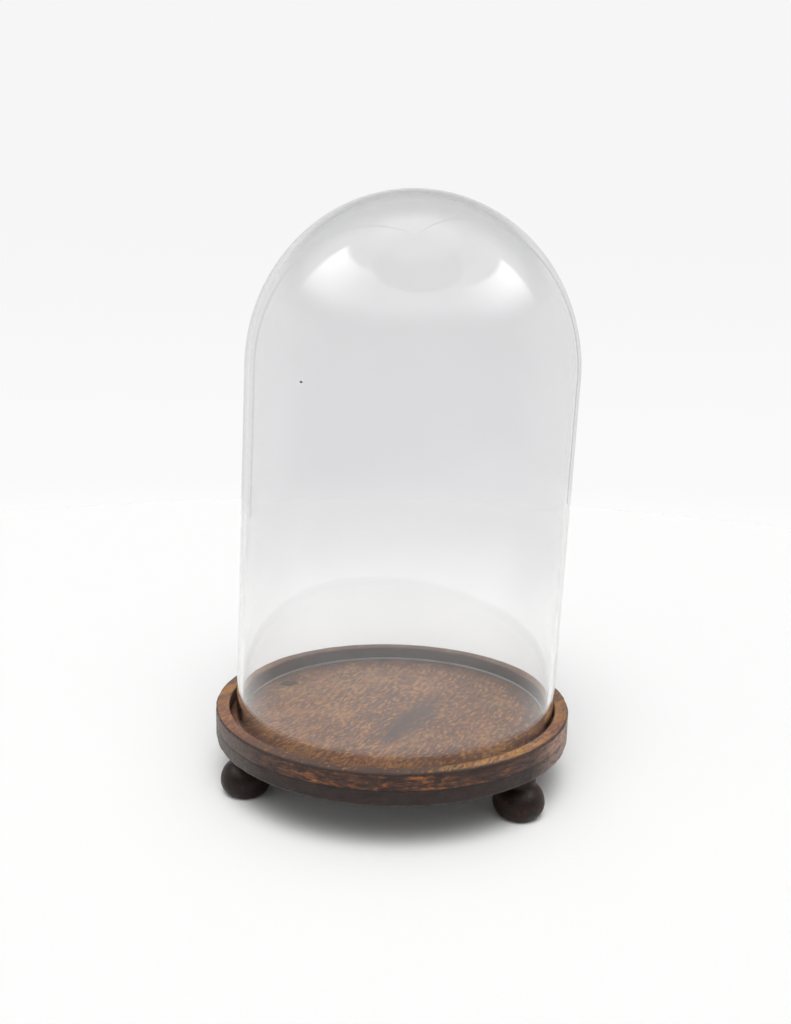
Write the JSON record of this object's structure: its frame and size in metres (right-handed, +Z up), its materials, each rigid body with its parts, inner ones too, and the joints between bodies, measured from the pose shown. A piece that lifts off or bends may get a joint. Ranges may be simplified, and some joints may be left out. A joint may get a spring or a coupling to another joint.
{
  "type": "glass display dome on footed wooden base",
  "caption": "Tall clear glass dome with a rounded top that lifts off a turned, distressed brown wooden tray base standing on ball-shaped bun feet.",
  "frame": {"origin": "centre of the wooden base, in the plane of the three foot soles", "axes": "+Z up; -Y is the front; +X to the right seen from the front"},
  "size_m": [0.2, 0.2, 0.3249],
  "materials": {
    "clear_glass": "clear blown glass, fire polished",
    "rim_wood": "brown stain rubbed through to golden wood on the edges, satin lacquer",
    "disc_wood": "dark brown mottled stain, satin lacquer",
    "foot_wood": "near-black stain with reddish rubbed patches, satin",
    "screw_steel": "zinc-plated steel"
  },
  "bodies": {
    "base": {"base_disc": "disc_wood", "rim_ring": "rim_wood", "foot_rear": "foot_wood", "foot_front_left": "foot_wood", "foot_front_right": "foot_wood", "foot_screw_rear": "screw_steel", "foot_screw_front_left": "screw_steel", "foot_screw_front_right": "screw_steel"},
    "dome": {"glass_dome": "clear_glass"}
  },
  "joints": [
    {"name": "dome_lift", "type": "slide", "parent": "base", "child": "dome", "axis": [0, 0, 1], "range_m": [0, 0.3]}
  ]
}
